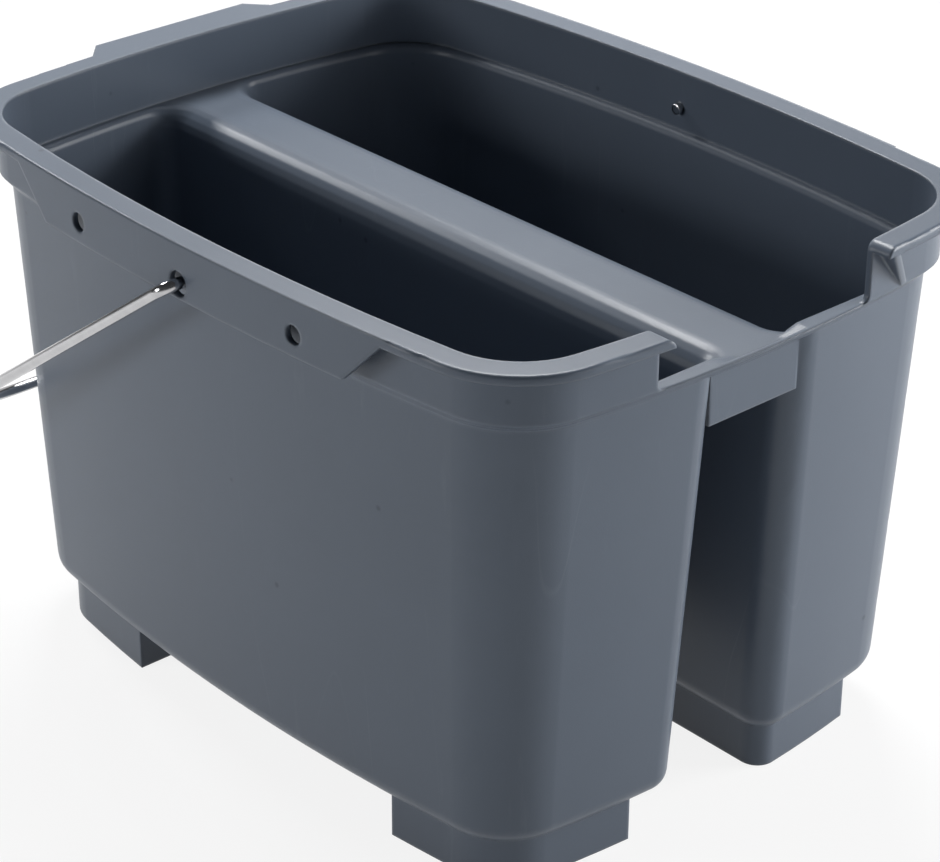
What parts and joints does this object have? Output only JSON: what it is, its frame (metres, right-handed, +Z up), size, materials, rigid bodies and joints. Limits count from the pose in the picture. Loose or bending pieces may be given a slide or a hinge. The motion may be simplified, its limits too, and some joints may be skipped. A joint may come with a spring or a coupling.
{
  "type": "divided double pail",
  "caption": "Divided cleaning pail: two tapered tubs under one flanged collar, with a pouring dip in the front rim and a chromed wire bail that swings over the top.",
  "frame": {"origin": "floor level under the middle of the overall box", "axes": "+X along the pail to the pouring end, +Y to the far long side in the picture, +Z up"},
  "size_m": [0.4546, 0.364, 0.285],
  "materials": {
    "body_plastic": "satin moulded polypropylene, blue-grey",
    "bail_chrome": "bright plated wire",
    "grip_plastic": "plain moulded sleeve"
  },
  "bodies": {
    "bucket": {"bucket_body": "body_plastic"},
    "bail": {"bail_wire": "bail_chrome"},
    "grip": {"bail_grip": "grip_plastic"}
  },
  "joints": [
    {"name": "bail_swing", "type": "hinge", "parent": "bucket", "child": "bail", "pos_m": [0.00565, 0, 0.2645], "axis": [0, 1, 0], "range_deg": [0, 250.8]},
    {"name": "grip_turn", "type": "hinge", "parent": "bail", "child": "grip", "pos_m": [-0.20588, 0, 0.11418], "axis": [0, 1, 0], "continuous": true}
  ]
}
